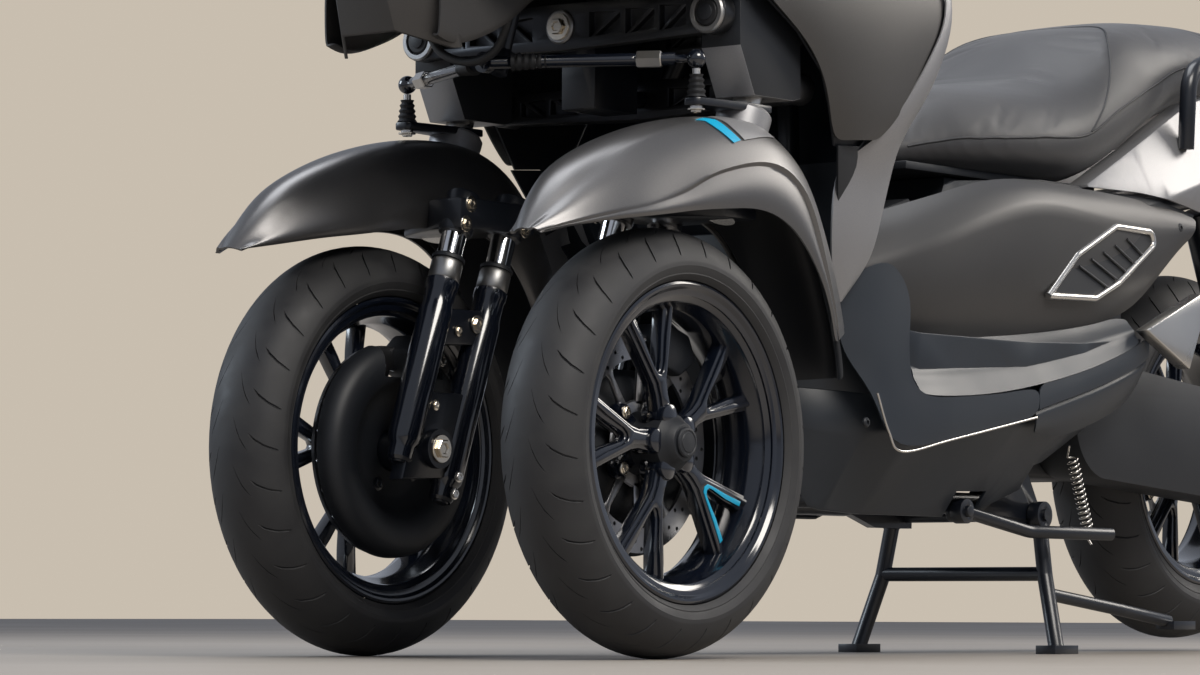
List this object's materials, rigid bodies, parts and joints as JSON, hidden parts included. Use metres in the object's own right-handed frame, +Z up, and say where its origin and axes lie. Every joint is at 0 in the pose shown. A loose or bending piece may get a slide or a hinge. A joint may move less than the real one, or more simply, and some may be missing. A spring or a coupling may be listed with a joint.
{
  "type": "reverse trike scooter",
  "caption": "Leaning reverse trike scooter with two steered front wheels on a tilting linkage, a driven rear wheel, opening seat and folding stands.",
  "frame": {"origin": "centre of the bounding box at floor level", "axes": "+X forward, +Y to the vehicle's left, +Z up"},
  "size_m": [2.25, 0.815, 1.47],
  "materials": {
    "fairing_grey": "matte warm grey paint on moulded panels",
    "strip_grey": "satin light grey paint",
    "fender_grey": "satin metallic grey paint",
    "dark_plastic": "grained dark slate moulded plastic",
    "black_metal": "black powder coat",
    "gloss_black": "gloss black wheel paint",
    "cast_silver": "cast aluminium",
    "bright_metal": "machined steel",
    "tyre": "tread rubber",
    "rubber": "moulded rubber",
    "seat_cover": "grained dark grey seat vinyl",
    "clear": "clear lens and screen",
    "red_lens": "red lamp lens"
  },
  "bodies": {
    "chassis": {"frame": "black_metal", "lean_bracket": "black_metal", "side_stand_lug": "bright_metal", "engine_block": "cast_silver", "belt_case": "dark_plastic", "muffler": "black_metal", "radiator": "black_metal", "rear_shocks": "black_metal", "passenger_pegs": "cast_silver", "front_cowl": "fairing_grey", "headlamps": "clear", "windscreen": "clear", "instruments": "dark_plastic", "fairings": "fairing_grey", "fairing_strips": "strip_grey", "leg_shield": "dark_plastic", "lower_cowls": "dark_plastic", "floor_panels": "dark_plastic", "tunnel": "dark_plastic", "side_panels": "fairing_grey", "rear_cowls": "strip_grey", "storage_tub": "dark_plastic", "tail_lamp": "red_lens", "rear_mudguard": "dark_plastic", "grab_rails": "cast_silver", "stand_spring": "bright_metal"},
    "upper_arm": {"upper_arm": "cast_silver"},
    "lower_arm": {"lower_arm": "black_metal"},
    "knuckle_left": {"knuckle_left": "cast_silver"},
    "knuckle_right": {"knuckle_right": "cast_silver"},
    "fork_left": {"fork_left": "black_metal", "disc_cover_left": "dark_plastic", "fender_left": "fender_grey"},
    "fork_right": {"fork_right": "black_metal", "disc_cover_right": "dark_plastic", "fender_right": "fender_grey"},
    "wheel_left": {"front_tyre_left": "tyre", "front_rim_left": "gloss_black"},
    "wheel_right": {"front_tyre_right": "tyre", "front_rim_right": "gloss_black"},
    "handlebar": {"handlebar": "black_metal", "grips": "rubber", "mirrors": "dark_plastic"},
    "tie_block": {"tie_block": "black_metal"},
    "tie_rods": {"tie_rods": "black_metal"},
    "rear_wheel": {"rear_tyre": "tyre", "rear_rim": "gloss_black"},
    "centre_stand": {"centre_stand": "black_metal"},
    "side_stand": {"side_stand": "black_metal"},
    "seat": {"seat": "seat_cover"}
  },
  "joints": [
    {"name": "lean", "type": "hinge", "parent": "chassis", "child": "upper_arm", "pos_m": [0.64, 0, 0.8], "axis": [1, 0, 0], "range_deg": [-39, 39]},
    {"name": "lower_arm_pivot", "type": "hinge", "parent": "chassis", "child": "lower_arm", "pos_m": [0.544, 0, 0.722], "axis": [1, 0, 0], "range_deg": [-39, 39]},
    {"name": "knuckle_left_pivot", "type": "hinge", "parent": "upper_arm", "child": "knuckle_left", "pos_m": [0.64, 0.235, 0.8], "axis": [1, 0, 0], "range_deg": [-39, 39]},
    {"name": "kingpin_left", "type": "hinge", "parent": "knuckle_left", "child": "fork_left", "pos_m": [0.64322, 0.235, 0.7], "axis": [-0.342, 0, 0.9397], "range_deg": [-32, 32]},
    {"name": "wheel_left_spin", "type": "hinge", "parent": "fork_left", "child": "wheel_left", "pos_m": [0.83, 0.235, 0.262], "axis": [0, 1, 0], "continuous": true},
    {"name": "knuckle_right_pivot", "type": "hinge", "parent": "upper_arm", "child": "knuckle_right", "pos_m": [0.64, -0.235, 0.8], "axis": [1, 0, 0], "range_deg": [-39, 39]},
    {"name": "kingpin_right", "type": "hinge", "parent": "knuckle_right", "child": "fork_right", "pos_m": [0.64322, -0.235, 0.7], "axis": [-0.342, 0, 0.9397], "range_deg": [-32, 32]},
    {"name": "wheel_right_spin", "type": "hinge", "parent": "fork_right", "child": "wheel_right", "pos_m": [0.83, -0.235, 0.262], "axis": [0, 1, 0], "continuous": true},
    {"name": "steer", "type": "hinge", "parent": "chassis", "child": "handlebar", "pos_m": [0.66543, 0, 0.9], "axis": [-0.342, 0, 0.9397], "range_deg": [-32, 32]},
    {"name": "tie_block_pivot", "type": "hinge", "parent": "handlebar", "child": "tie_block", "pos_m": [0.84566, 0, 0.74], "axis": [-0.342, 0, 0.9397], "range_deg": [-32, 32]},
    {"name": "tie_rods_pivot", "type": "hinge", "parent": "tie_block", "child": "tie_rods", "pos_m": [0.84566, 0, 0.74], "axis": [1, 0, 0], "range_deg": [-39, 39]},
    {"name": "rear_wheel_spin", "type": "hinge", "parent": "chassis", "child": "rear_wheel", "pos_m": [-0.765, 0, 0.296], "axis": [0, 1, 0], "continuous": true},
    {"name": "centre_stand_pivot", "type": "hinge", "parent": "chassis", "child": "centre_stand", "pos_m": [-0.2, 0, 0.195], "axis": [0, 1, 0], "range_deg": [0, 75]},
    {"name": "side_stand_pivot", "type": "hinge", "parent": "chassis", "child": "side_stand", "pos_m": [0.02, 0.141, 0.196], "axis": [0, -1, 0], "range_deg": [0, 95]},
    {"name": "seat_hinge", "type": "hinge", "parent": "chassis", "child": "seat", "pos_m": [0.172, 0, 0.64], "axis": [0, 1, 0], "range_deg": [0, 60]}
  ],
  "couplings": [
    {"joint": "lower_arm_pivot", "follows": "lean", "ratio": 1},
    {"joint": "knuckle_left_pivot", "follows": "lean", "ratio": -1},
    {"joint": "knuckle_right_pivot", "follows": "lean", "ratio": -1},
    {"joint": "tie_rods_pivot", "follows": "lean", "ratio": 1},
    {"joint": "kingpin_left", "follows": "steer", "ratio": 1},
    {"joint": "kingpin_right", "follows": "steer", "ratio": 1},
    {"joint": "tie_block_pivot", "follows": "steer", "ratio": -1}
  ]
}
